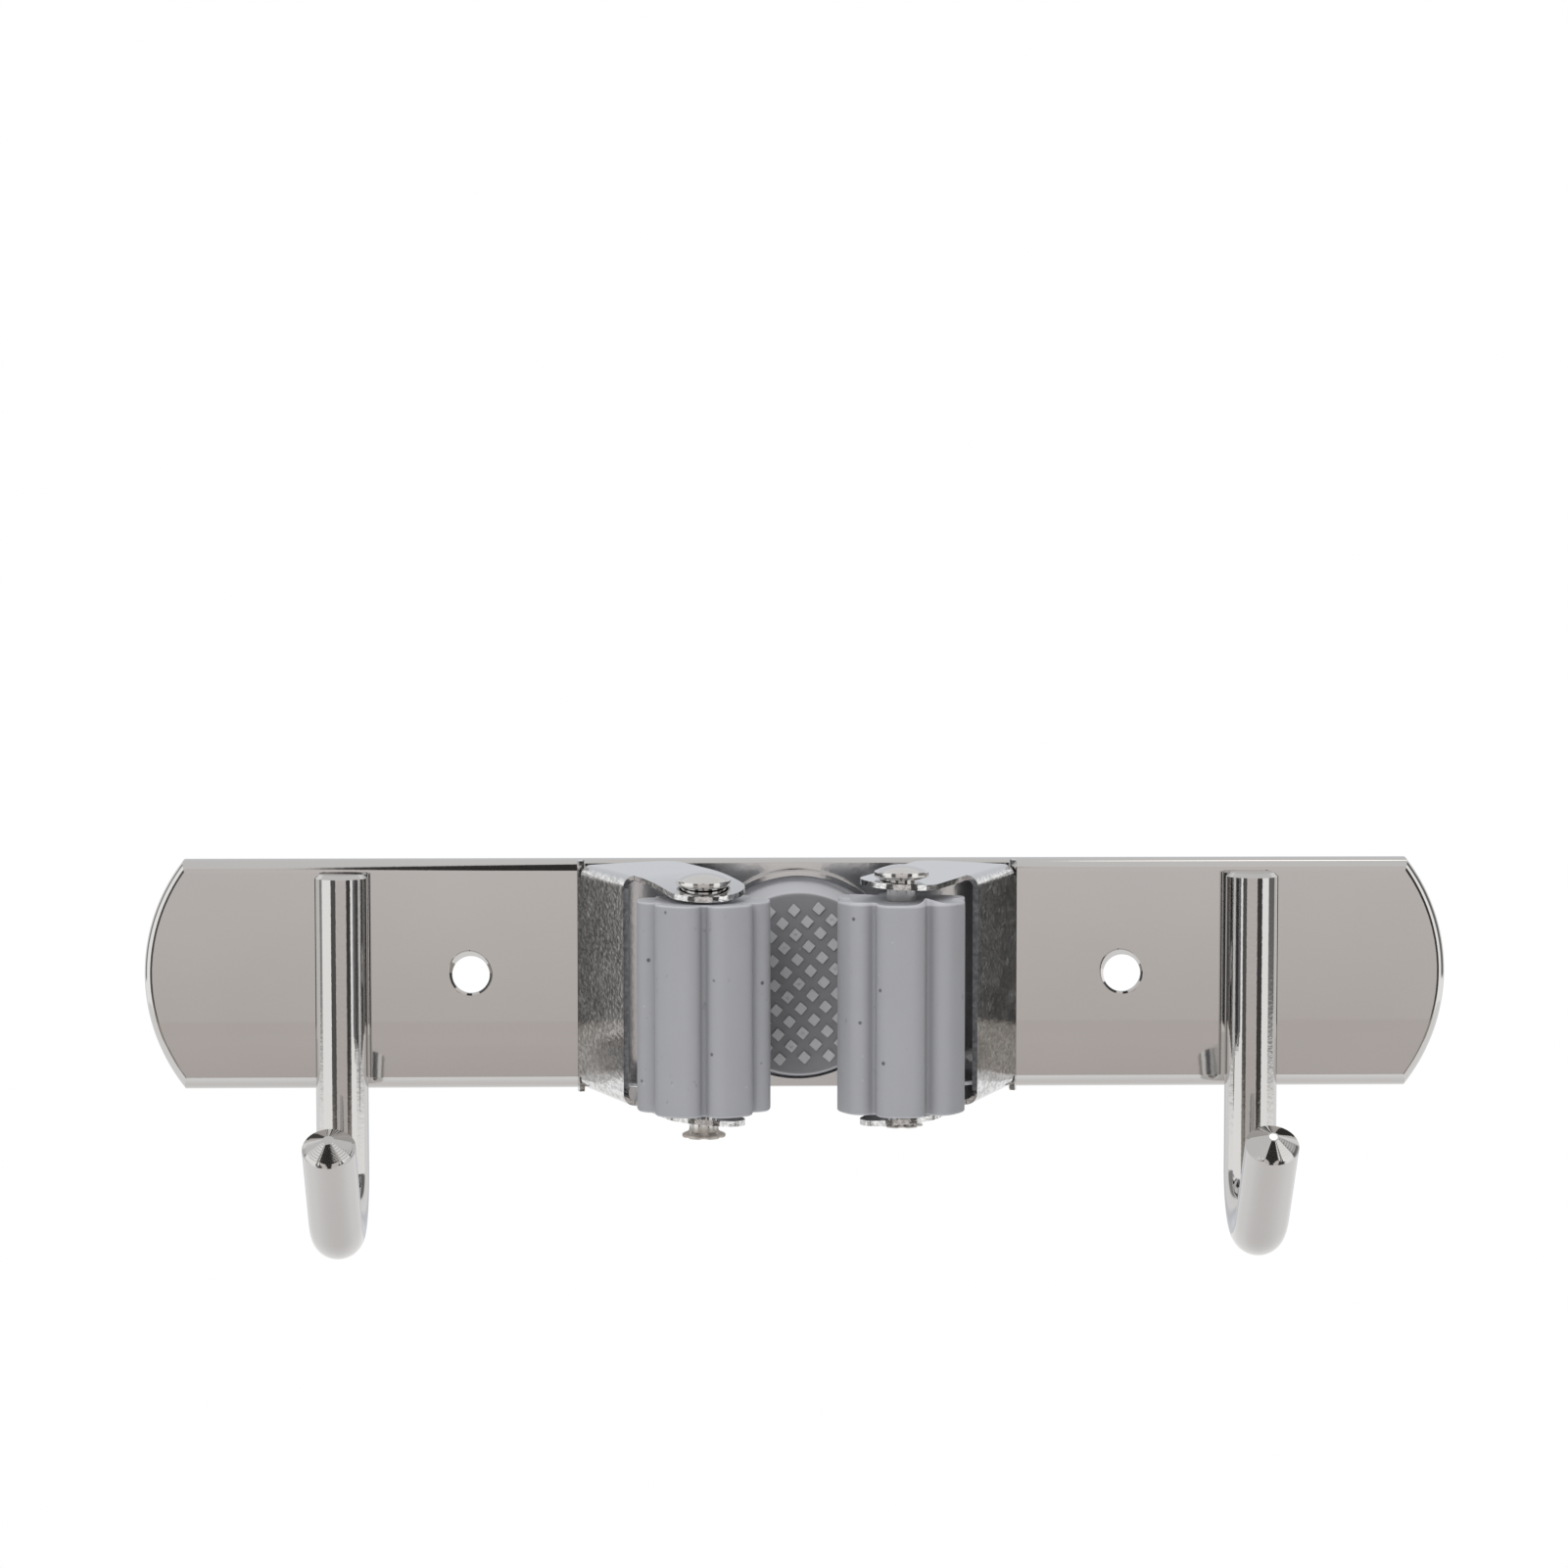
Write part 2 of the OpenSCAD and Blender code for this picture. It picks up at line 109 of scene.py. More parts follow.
# places that follow from them, y being negative towards the front
ROD_Y = -PLATE_SHEET - (ROD_RADIUS - WELD_FLAT)
BEND_HEIGHT = HOOK_BEND + ROD_RADIUS - HOOK_DROP
BEND_OUTER = WALL_BEND + CLIP_SHEET
BEND_X = CLIP_WIDTH / 2 - BEND_OUTER
BEND_Y = -PLATE_SHEET - BEND_OUTER
EAR_HALF = (ROLLER_LENGTH + ROLLER_SEAT + ROLLER_PLAY) / 2 + CLIP_SHEET
ROLLER_Y = -PLATE_SHEET - ROLLER_REACH
ROLLER_FOOT = ROLLER_SEAT + CLIP_SHEET - EAR_HALF
ROLLER_TOP = ROLLER_FOOT + ROLLER_LENGTH
CUP_FLOOR = CLIP_SHEET + CUP_SHEET
PAD_FACE_Y = -PLATE_SHEET - PAD_REACH


# shader helpers
class Nodes:
    """Adds and links the shader nodes of one tree."""

    def __init__(self, tree):
        self.tree = tree
        tree.nodes.clear()

    def add(self, kind, inputs=None, **settings):
        node = self.tree.nodes.new(kind)
        for name, value in settings.items():
            setattr(node, name, value)
        self.fill(node, inputs or {})
        return node

    def fill(self, node, inputs):
        for name, value in inputs.items():
            self.put(node.inputs[name], value)

    def put(self, socket, value):
        if isinstance(value, bpy.types.NodeSocket):
            self.tree.links.new(value, socket)
        else:
            socket.default_value = value

    def coordinate(self, kind):
        return self.add("ShaderNodeTexCoord").outputs[kind]

    def math(self, operation, a, b=0.0, c=0.0):
        node = self.add("ShaderNodeMath", operation=operation)
        for socket, value in zip(node.inputs, (a, b, c)):
            self.put(socket, value)
        return node.outputs[0]

    def times(self, *values):
        result = values[0]
        for value in values[1:]:
            result = self.math("MULTIPLY", result, value)
        return result

    def squares(self, a, b):
        return self.math("ADD", self.times(a, a), self.times(b, b))

    def step(self, value, low, high):
        """Goes smoothly from 0 at low to 1 at high, also where low is the larger one."""
        node = self.add("ShaderNodeMapRange", interpolation_type="SMOOTHSTEP")
        self.fill(node, {"Value": value, "From Min": low, "From Max": high})
        return node.outputs["Result"]

    def mix(self, factor, a, b):
        node = self.add("ShaderNodeMix", data_type="RGBA")
        sockets = {socket.identifier: socket for socket in node.inputs}
        self.put(sockets["Factor_Float"], factor)
        self.put(sockets["A_Color"], a)
        self.put(sockets["B_Color"], b)
        return next(socket for socket in node.outputs if socket.identifier == "Result_Color")

    def parts(self, vector):
        node = self.add("ShaderNodeSeparateXYZ", {"Vector": vector})
        return node.outputs["X"], node.outputs["Y"], node.outputs["Z"]

    def stretched(self, vector, scale):
        return self.add("ShaderNodeMapping", {"Vector": vector, "Scale": scale}).outputs["Vector"]

    def noise(self, vector, scale, detail=2.0, roughness=0.5):
        inputs = {"Vector": vector, "Scale": scale, "Detail": detail, "Roughness": roughness}
        return self.add("ShaderNodeTexNoise", inputs).outputs["Fac"]

    def spots(self, vector, scale, low, high, detail=2.0, roughness=0.5):
        """Patches where a noise goes up over a step from low to high."""
        return self.step(self.noise(vector, scale, detail, roughness), low, high)

    def dots(self, vector, scale, size, share):
        """Sparse soft dots: size is a share of a cell, share how many of the cells have one."""
        cell = self.add("ShaderNodeTexVoronoi", {"Vector": vector, "Scale": scale, "Randomness": 1.0})
        pick = self.add("ShaderNodeSeparateColor", {"Color": cell.outputs["Color"]})
        near = self.step(cell.outputs["Distance"], size, 0.4 * size)
        return self.times(near, self.math("LESS_THAN", pick.outputs["Red"], share))

    def bump(self, height, distance, normal=None):
        inputs = {"Height": height, "Distance": distance, "Strength": 1.0}
        if normal is not None:
            inputs["Normal"] = normal
        return self.add("ShaderNodeBump", inputs).outputs["Normal"]


def shade(colour, factor=1.0):
    return [min(1.0, channel * factor) for channel in colour] + [1.0]


def empty_material(name):
    material = bpy.data.materials.new(name)
    material.use_nodes = True
    return material, Nodes(material.node_tree)


def new_material(name):
    """A material, its nodes, its shader and the place on the object."""
    material, net = empty_material(name)
    shader = net.add("ShaderNodeBsdfPrincipled")
    net.add("ShaderNodeOutputMaterial", {"Surface": shader.outputs["BSDF"]})
    return material, net, shader, net.coordinate("Object")


def upright(net):
    """1 on faces that stand upright, 0 on level ones."""
    level = net.math("ABSOLUTE", net.parts(net.coordinate("Normal"))[2])
    return net.step(level, 0.9, 0.5)


# bow: the plate's front is shaded as if it leaned back a little towards its lower edge
BOW_START = -8.0
BOW_REACH = 4.5
BOW_LEAN = 5.5


def bowed_height(net, place):
    """Height in millimetres of a front that leans back below BOW_START, to BOW_LEAN degrees."""
    height = net.times(net.parts(place)[2], 1.0 / MM)
    below = net.math("SUBTRACT", BOW_START, height)
    down = net.math("MAXIMUM", net.math("DIVIDE", below, BOW_REACH), 0.0)
    curved = net.math("MINIMUM", down, 1.0)
    fall = net.math("ADD", net.times(curved, curved, 0.5), net.math("SUBTRACT", down, curved))
    not_behind = net.math("LESS_THAN", net.parts(net.coordinate("Normal"))[1], 0.5)
    return net.times(fall, -BOW_REACH * tan(radians(BOW_LEAN)), not_behind)


# steel: a clouded mirror with grain, mottle, fine scratches and a few pits
PIT_BROWN = (0.2, 0.19, 0.18, 1.0)
PIT_DEPTH = 20


def steel(
    name, colour, shine, wave, mottle, grain, grain_scale, pit_share, haze=0.0, stain=0.0, bowed=False
):
    """wave, mottle and grain are heights of coarse, middling and fine unevenness, in micrometres."""
    material, net, shader, place = new_material(name)
    standing = upright(net)
    cloud = net.noise(place, scale=45.0, detail=3.0)
    drawn = net.stretched(place, (1.0, 0.36, 1.0))
    patches = net.times(net.spots(drawn, 260.0, 0.5, 0.75, detail=5.0, roughness=0.7), standing)
    rubbed = net.stretched(place, (40.0, 900.0, 2600.0))
    scratches = net.spots(rubbed, 1.0, 0.66, 0.74, detail=3.0, roughness=0.65)
    pits = net.dots(place, scale=150.0, size=0.07, share=pit_share)

    tone = net.mix(cloud, shade(colour, 0.965), shade(colour, 1.03))
    if stain:
        speckle = net.spots(drawn, 1400.0, 0.36, 0.64, detail=3.0, roughness=0.7)
        stained = net.mix(speckle, shade(colour, 1.0 - stain), shade(colour, 1.0 + stain))
        tone = net.mix(standing, tone, stained)
    tone = net.mix(net.times(pits, 0.45), tone, PIT_BROWN)

    rough = net.math("MULTIPLY_ADD", cloud, shine * 0.6, shine * 0.7)
    rough = net.times(rough, net.math("MULTIPLY_ADD", standing, 0.4, 0.6))
    rough = net.math("MULTIPLY_ADD", patches, haze, rough)
    rough = net.math("MULTIPLY_ADD", scratches, 0.08, rough)

    mottling = net.times(net.noise(drawn, scale=330.0, detail=3.0, roughness=0.6), standing)
    fine = net.times(net.noise(drawn, grain_scale), standing)
    normal = net.bump(bowed_height(net, place), MM) if bowed else None
    normal = net.bump(net.noise(place, scale=22.0, detail=1.0), wave * MICRON, normal)
    normal = net.bump(mottling, mottle * MICRON, normal)
    normal = net.bump(fine, grain * MICRON, normal)
    normal = net.bump(net.times(pits, -1.0), PIT_DEPTH * MICRON, normal)
    net.fill(shader, {"Base Color": tone, "Metallic": 1.0, "Roughness": rough, "Normal": normal})
    return material


# rivet steel: bright above, dull and brownish at the clinched end
DULL_HEIGHTS = (-20.3, -21.6)


def rivet_steel_material(name):
    material, net, shader, place = new_material(name)
    dull = net.step(net.times(net.parts(place)[2], 1.0 / MM), *DULL_HEIGHTS)
    cloud = net.noise(place, scale=300.0, detail=3.0)
    bright = net.mix(cloud, (0.66, 0.65, 0.635, 1.0), (0.72, 0.71, 0.70, 1.0))
    worn = net.mix(cloud, (0.48, 0.445, 0.41, 1.0), (0.64, 0.60, 0.565, 1.0))
    rough = net.math("MULTIPLY_ADD", cloud, 0.06, 0.10)
    rough = net.math("MULTIPLY_ADD", dull, 0.32, rough)
    normal = net.bump(cloud, 20 * MICRON)
    normal = net.bump(net.noise(place, scale=1500.0), 10 * MICRON, normal)
    tone = net.mix(dull, bright, worn)
    net.fill(shader, {"Base Color": tone, "Metallic": 1.0, "Roughness": rough, "Normal": normal})
    return material


# rubber: matt, clouded, with painted shade in the grooves that face the front, paler at its trimmed ends,
# with specks and scuffs
PAINTED_GROOVE_SHADE_RADII = (10.3, 8.7)
PAINTED_GROOVE_SHADE_FRONT = (-5.2, -7.8)
TRIMMED_TOP = (ROLLER_TOP - 0.35, ROLLER_TOP + 0.05)
TRIMMED_FOOT = (ROLLER_FOOT + 0.42, ROLLER_FOOT + 0.08)
SPECK_BLACK = (0.06, 0.06, 0.065, 1.0)


def rubber(name, colour, speck_share):
    material, net, shader, place = new_material(name)
    x, y, height = (net.times(part, 1.0 / MM) for part in net.parts(place))
    cloud = net.noise(place, scale=90.0, detail=4.0, roughness=0.6)
    fine = net.noise(place, scale=1800.0)
    lines = net.noise(net.stretched(place, (1.0, 1.0, 0.04)), scale=700.0)
    specks = net.dots(place, scale=260.0, size=0.12, share=speck_share)
    dust = net.dots(place, scale=420.0, size=0.10, share=0.08)
    nicks = net.spots(net.stretched(place, (900.0, 900.0, 420.0)), 1.0, 0.63, 0.72, detail=3.0, roughness=0.6)
    scuffs = net.times(nicks, net.spots(place, 140.0, 0.52, 0.62))
    off = net.math("SUBTRACT", net.math("ABSOLUTE", x), ROLLER_X)
    deep = net.math("SUBTRACT", y, ROLLER_Y)
    radius = net.math("SQRT", net.squares(off, deep))
    # painted shade: darkens the grooves that face the front, where shade falls in them
    groove = net.times(net.step(radius, *PAINTED_GROOVE_SHADE_RADII), net.step(deep, *PAINTED_GROOVE_SHADE_FRONT))
    trimmed = net.math("MAXIMUM", net.step(height, *TRIMMED_TOP), net.step(height, *TRIMMED_FOOT))

    tone = net.mix(cloud, shade(colour, 0.95), shade(colour, 1.05))
    for mask, strength, over in (
        (lines, 0.12, shade(colour, 1.2)),
        # the painted shade in the front grooves
        (groove, 0.36, shade(colour, 0.45)),
        (scuffs, 0.5, shade(colour, 0.5)),
        (specks, 0.85, SPECK_BLACK),
        (trimmed, 0.65, shade(colour, 1.75)),
        (dust, 0.3, shade(colour, 1.7)),
    ):
        tone = net.mix(net.times(mask, strength), tone, over)

    rough = net.math("MULTIPLY_ADD", fine, 0.12, 0.56)
    normal = net.bump(fine, 12 * MICRON)
    normal = net.bump(net.times(scuffs, -1.0), 30 * MICRON, normal)
    normal = net.bump(cloud, 60 * MICRON, normal)
    net.fill(shader, {"Base Color": tone, "Roughness": rough, "Normal": normal, "Specular IOR Level": 0.32})
    return material


# pad rubber: darker in the hollows of its face, paler on the diamonds and the side
FACE_DEPTHS = (-PAD_FACE_Y - 0.35, -PAD_FACE_Y - 0.05)
CREST_DEPTHS = (-PAD_FACE_Y + 0.15, -PAD_FACE_Y + 0.4)
PAD_SIDE_GREY = (0.50, 0.505, 0.532, 1.0)
PAD_DUST = (0.5, 0.5, 0.52, 1.0)


def pad_rubber_material(name):
    material, net, shader, place = new_material(name)
    depth = net.times(net.parts(place)[1], -1.0 / MM)
    cloud = net.noise(place, scale=160.0, detail=4.0, roughness=0.6)
    fine = net.noise(place, scale=1600.0)
    dust = net.dots(place, scale=380.0, size=0.10, share=0.10)
    ground = net.mix(cloud, (0.205, 0.205, 0.217, 1.0), (0.245, 0.245, 0.257, 1.0))
    crest = net.mix(cloud, (0.43, 0.435, 0.452, 1.0), (0.51, 0.515, 0.532, 1.0))
    tone = net.mix(net.step(depth, *FACE_DEPTHS), PAD_SIDE_GREY, ground)
    tone = net.mix(net.step(depth, *CREST_DEPTHS), tone, crest)
    tone = net.mix(net.times(dust, 0.35), tone, PAD_DUST)
    rough = net.math("MULTIPLY_ADD", fine, 0.14, 0.58)
    normal = net.bump(fine, 20 * MICRON)
    net.fill(shader, {"Base Color": tone, "Roughness": rough, "Normal": normal, "Specular IOR Level": 0.3})
    return material


# materials of the nodes
plate_steel = steel(
    "polished_plate", (0.63, 0.62, 0.61), shine=0.05, wave=60, mottle=1, grain=1.2, grain_scale=900.0,
    pit_share=0.05, bowed=True,
)
rod_steel = steel(
    "polished_rod", (0.60, 0.59, 0.58), shine=0.07, wave=40, mottle=5, grain=6, grain_scale=1600.0,
    pit_share=0.05,
)
wing_steel = steel(
    "sprung_clip", (0.64, 0.64, 0.64), shine=0.10, wave=40, mottle=12, grain=22, grain_scale=1700.0,
    pit_share=0.08, haze=0.06, stain=0.24,
)
clip_steel = steel(
    "polished_clip", (0.64, 0.64, 0.64), shine=0.11, wave=40, mottle=10, grain=6, grain_scale=1300.0,
    pit_share=0.08,
)
rivet_steel = rivet_steel_material("rivet_steel")
grey_rubber = rubber("grey_rubber", (0.325, 0.331, 0.352), speck_share=0.42)
pad_rubber = pad_rubber_material("pad_rubber")

for node, material in {
    "back_plate": plate_steel,
    "left_hook": rod_steel,
    "right_hook": rod_steel,
    "clip_base": clip_steel,
    "left_wing": wing_steel,
    "right_wing": wing_steel,
    "pad_cup": clip_steel,
    "left_rivet": rivet_steel,
    "right_rivet": rivet_steel,
    "clip_rivets": rivet_steel,
    "left_roller": grey_rubber,
    "right_roller": grey_rubber,
    "grip_pad": pad_rubber,
}.items():
    nodes[node].data.materials.clear()
    nodes[node].data.materials.append(material)


# mesh helpers
def piece(name, points, faces, material, sharp=40.0):
    """A smooth mesh object from points in millimetres, with sharp edges above an angle."""
    mesh = bpy.data.meshes.new(name)
    mesh.from_pydata([Vector(p) * MM for p in points], [], faces)
    work = bmesh.new()
    work.from_mesh(mesh)
    bmesh.ops.recalc_face_normals(work, faces=work.faces)
    work.to_mesh(mesh)
    work.free()
    mesh.shade_smooth()
    mesh.set_sharp_from_angle(angle=radians(sharp))
    mesh.materials.append(material)
    thing = bpy.data.objects.new(name, mesh)
    scene.collection.objects.link(thing)
    return thing


def bands(rings, start=0, closed=False):
    """Faces between rings of equal count, the first point being number start."""
    count = len(rings[0])
    faces = []
    for r in range(len(rings) if closed else len(rings) - 1):
        a, b = start + r * count, start + (r + 1) % len(rings) * count
        faces += [(a + k, a + (k + 1) % count, b + (k + 1) % count, b + k) for k in range(count)]
    return faces


def looped(rings):
    """Points and faces of rings whose last one joins the first."""
    return [p for ring in rings for p in ring], bands(rings, closed=True)


def capped(rings):
    """Points and faces of rings with a flat face at each end."""
    points = [p for ring in rings for p in ring]
    count = len(rings[0])
    ends = [tuple(reversed(range(count))), tuple(range(len(points) - count, len(points)))]
    return points, bands(rings) + ends


def turned(first, rings, last):
    """Points and faces of rings between two end points."""
    points = [first] + [p for ring in rings for p in ring] + [last]
    count, end = len(rings[0]), len(points) - 1
    faces = [(0, 1 + (k + 1) % count, 1 + k) for k in range(count)]
    faces += bands(rings, start=1)
    faces += [(end, end - count + k, end - count + (k + 1) % count) for k in range(count)]
    return points, faces


def joined(shapes):
    """Points and faces of several shapes in one mesh."""
    points, faces = [], []
    for shape_points, shape_faces in shapes:
        start = len(points)
        points += shape_points
        faces += [tuple(start + k for k in face) for face in shape_faces]
    return points, faces


def arc(centre, radius, start, end, steps):
    angles = [radians(start + (end - start) * k / steps) for k in range(steps + 1)]
    return [(centre[0] + radius * cos(angle), centre[1] + radius * sin(angle)) for angle in angles]


def circle(count):
    return [(cos(2 * pi * k / count), sin(2 * pi * k / count)) for k in range(count)]


def spun(point, angle):
    c, s = cos(radians(angle)), sin(radians(angle))
    return point[0] * c - point[1] * s, point[0] * s + point[1] * c


def clipped(value):
    """The value, kept between 0 and 1."""
    return max(0.0, min(1.0, value))


# rollers: lobed outline, rounded ends and a thin trimmed lip round the top
END_ROUND = 0.45
END_ANGLES = (0, 22, 45, 68, 90)
END_SINK = 0.05
BODY_ROWS = 8
LIP_WAVES = 5
LIP_PHASE = 40
LIP_LEAST = 0.4
# height from the top, inset from the outline, and share of the lip's own height
LIP_ROWS = (
    (-1.4, 0.0, 0.0),
    (-0.5, 0.02, 0.25),
    (-0.15, 0.05, 0.85),
    (0.0, 0.16, 1.0),
    (-0.02, 0.34, 0.9),
    (-END_SINK, 0.6, 0.25),
    (-END_SINK, 1.0, 0.0),
)


def lobed_outline():
    """Half a groove and half a lobe as tangent arcs, mirrored and repeated round the axis."""
    groove = (ROLLER_RADIUS - GROOVE_SINK, 0.0)
    shoulder = ROLLER_RADIUS - LOBE_SHOULDER
    reach = GROOVE_RADIUS + LOBE_SHOULDER
    half = degrees(acos((groove[0] ** 2 + shoulder ** 2 - reach ** 2) / (2 * groove[0] * shoulder)))
    centre = spun((shoulder, 0.0), half)
    touch = degrees(atan2(centre[1], centre[0] - groove[0]))
    pitch = 360 / LOBE_COUNT
    side = arc(groove, GROOVE_RADIUS, 180, touch, 4)[:-1]
    side += arc(centre, LOBE_SHOULDER, touch - 180, half, 14)[:-1]
    side += arc((0, 0), ROLLER_RADIUS, half, pitch / 2, 4)
    lobe = side + [spun((x, -y), pitch) for x, y in side[-2:0:-1]]
    return [spun(p, pitch * k) for k in range(LOBE_COUNT) for p in lobe]


def inset_outline(outline, inset):
    moved = []
    for k, (x, y) in enumerate(outline):
        before, after = outline[k - 1], outline[(k + 1) % len(outline)]
        along_x, along_y = after[0] - before[0], after[1] - before[1]
        length = hypot(along_x, along_y)
        moved.append((x - inset * along_y / length, y + inset * along_x / length))
    return moved


def lip_height(angle, lip, horn):
    off = (angle - horn[0] + 180) % 360 - 180
    ripple = 0.5 + 0.5 * sin(radians(LIP_WAVES * angle + LIP_PHASE))
    return lip * (LIP_LEAST + (1.0 - LIP_LEAST) * ripple) + horn[1] * exp(-((off / horn[2]) ** 2))


def roller(name, side, turn, lip, horn):
    """lip is the height of the trimmed lip, horn is (angle, height, width) of its highest place."""
    outline = [spun(p, turn) for p in lobed_outline()]
    angles = [atan2(y, x) for x, y in outline]
    bore = [(BORE_RADIUS * cos(angle), BORE_RADIUS * sin(angle)) for angle in angles]
    between = [(0.5 * (x + u), 0.5 * (y + v)) for (x, y), (u, v) in zip(outline, bore)]
    rises = [lip_height(degrees(angle), lip, horn) for angle in angles]

    def ring(flat, height, share=0.0):
        return [
            (side * ROLLER_X + x, ROLLER_Y + y, ROLLER_FOOT + height + share * rise)
            for (x, y), rise in zip(flat, rises)
        ]

    rows = [
        (END_ROUND - END_ROUND * cos(radians(a)), END_ROUND - END_ROUND * sin(radians(a)), 0.0)
        for a in END_ANGLES
    ]
    rows += [(ROLLER_LENGTH * k / BODY_ROWS, 0.0, 0.0) for k in range(1, BODY_ROWS)]
    rows += [(ROLLER_LENGTH + above, inset, share) for above, inset, share in LIP_ROWS]
    rings = [ring(inset_outline(outline, inset), height, share) for height, inset, share in rows]
    rings += [ring(flat, ROLLER_LENGTH - END_SINK) for flat in (between, bore)]
    rings.append(ring(bore, 0.0))
    thing = piece(name, *looped(rings), grey_rubber)
    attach(thing, name.replace("_rubber", ""))
    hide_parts(name.replace("_rubber", ""))


roller("left_roller_rubber", -1, turn=-90, lip=0.14, horn=(0, 0.0, 20.0))
roller("right_roller_rubber", 1, turn=-63.5, lip=0.35, horn=(-66, 0.75, 9.0))

# grip pad: a turned body with rounded rim, and raised diamonds, some of them with a small pit
PAD_SIDES = 128
PAD_PLAY = 0.05
FOOT_BEVEL = 0.4
FOOT_EDGE = 0.15
FILLET_WIDTH = 0.25
FILLET_HEIGHT = 0.3
SIDE_ROWS = 6
FACE_RADII = (12.0, 8.0, 4.0)
# rows of a diamond: its size and its height, as shares of the full ones
STUD_ROWS = ((1.0, -0.2), (0.99, 0.5), (0.965, 0.84), (0.90, 1.0), (0.30, 1.0))
STUD_MIDDLE = 0.22
STUD_PIT = 0.72
# half the angle that a blunt corner takes up, and how much it shortens the diagonal
STUD_CORNER = 4.0
MIDDLE_CORNER = 10.0
BLUNT_SHARE = 0.97


def pad_body():
    foot = CUP_INSIDE - PAD_PLAY
    shelf = CUP_FLOOR + PAD_FOOT
    low, high = shelf + FILLET_HEIGHT, PAD_REACH - PAD_ROUND
    hollow = CUP_FLOOR + PAD_HOLLOW_DEPTH
    profile = [(PAD_HOLLOW_RADIUS, hollow), (PAD_HOLLOW_RADIUS, CUP_FLOOR)]
    profile += [(foot - FOOT_BEVEL, CUP_FLOOR), (foot, CUP_FLOOR + FOOT_BEVEL)]
    profile += [(foot, shelf - FOOT_EDGE), (foot - FOOT_EDGE, shelf), (PAD_RADIUS + FILLET_WIDTH, shelf)]
    for k in range(SIDE_ROWS):
        share = k / SIDE_ROWS
        profile.append((PAD_RADIUS + (PAD_FACE_RADIUS - PAD_RADIUS) * share, low + (high - low) * share))
    profile += arc((PAD_FACE_RADIUS - PAD_ROUND, high), PAD_ROUND, 0, 90, 8)
    profile += [(radius, PAD_REACH) for radius in FACE_RADII]
    rings = [[(r * x, -PLATE_SHEET - depth, r * z) for x, z in circle(PAD_SIDES)] for r, depth in profile]
    return turned((0.0, -PLATE_SHEET - hollow, 0.0), rings, (0.0, PAD_FACE_Y, 0.0))


def stud(place, middle):
    """One raised diamond with blunt corners; middle is its middle's height, as a share of the full one."""
    rings = []
    for share, height in STUD_ROWS + ((STUD_MIDDLE, middle),):
        inner = share < 0.5
        reach = share * STUD_DIAGONAL / 2 * (1.0 if inner else BLUNT_SHARE)
        corner = MIDDLE_CORNER if inner else STUD_CORNER
        ring = []
        for turn in (90 * quarter + nudge for quarter in range(4) for nudge in (-corner, corner)):
            point = (place[0] + reach * cos(radians(turn)), place[1] + reach * sin(radians(turn)))
            x, z = spun(point, STUD_TURN)
            ring.append((x, PAD_FACE_Y - height * STUD_HEIGHT, z))
        rings.append(ring)
    return capped(rings)


def grip_pad():
    shapes = [pad_body()]
    fits = PAD_FACE_RADIUS - PAD_ROUND - STUD_DIAGONAL / 2
    steps = int(PAD_FACE_RADIUS * 2 / STUD_PITCH) + 1
    for row in range(-2 * steps, 2 * steps + 1):
        for column in range(-steps, steps + 1):
            place = (STUD_PITCH * (column + row % 2 / 2), STUD_PITCH * row / 2)
            if hypot(*place) < fits:
                pitted = (3 * row + 5 * column) % 4 == 0
                shapes.append(stud(place, STUD_PIT if pitted else 1.0))
    thing = piece("grip_pad_rubber", *joined(shapes), pad_rubber)
    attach(thing, "rack")
    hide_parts("grip_pad")


grip_pad()

# bend of the clip: the strip that flexes between base and wing
STRIP_OVERLAP = 1.5
STRIP_PROUD = 0.012
STRIP_ROWS = 12


def bend_strip(name, side):
    def at(radius, angle, z):
        x = side * (BEND_X + radius * cos(radians(angle)))
        return x, BEND_Y + radius * sin(radians(angle)), z

    near, far = WALL_BEND - STRIP_PROUD, BEND_OUTER + STRIP_PROUD
    section = ((near, -EAR_HALF), (far, -EAR_HALF), (far, EAR_HALF), (near, EAR_HALF))
    first, last = WING_ROOT - STRIP_OVERLAP, LIP_START + STRIP_OVERLAP
    angles = [first + (last - first) * k / STRIP_ROWS for k in range(STRIP_ROWS + 1)]
    rings = [[at(radius, angle, z) for radius, z in section] for angle in angles]
    thing = piece(name, *capped(rings), wing_steel)
    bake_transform(thing)


bend_strip("left_clip_bend", -1)
bend_strip("right_clip_bend", 1)

# hook tips: the turned cone on the rod's end, with its rings and centre flat
TIP_SIDES = 180
TIP_ROWS = 70
TIP_RIM = 4.44
TIP_PROUD = 0.02
TIP_INSIDE = 0.3
CUT_RIM = 4.3
CUT_FADE = 0.5
CUT_RIM_SINK = 0.01
RING_PITCH = 0.42
FACET_EDGE = 2.0
# directions round the tip: its front, and the side where the rings are highest
TIP_FRONT = 270.0
RING_SIDE = 295.0


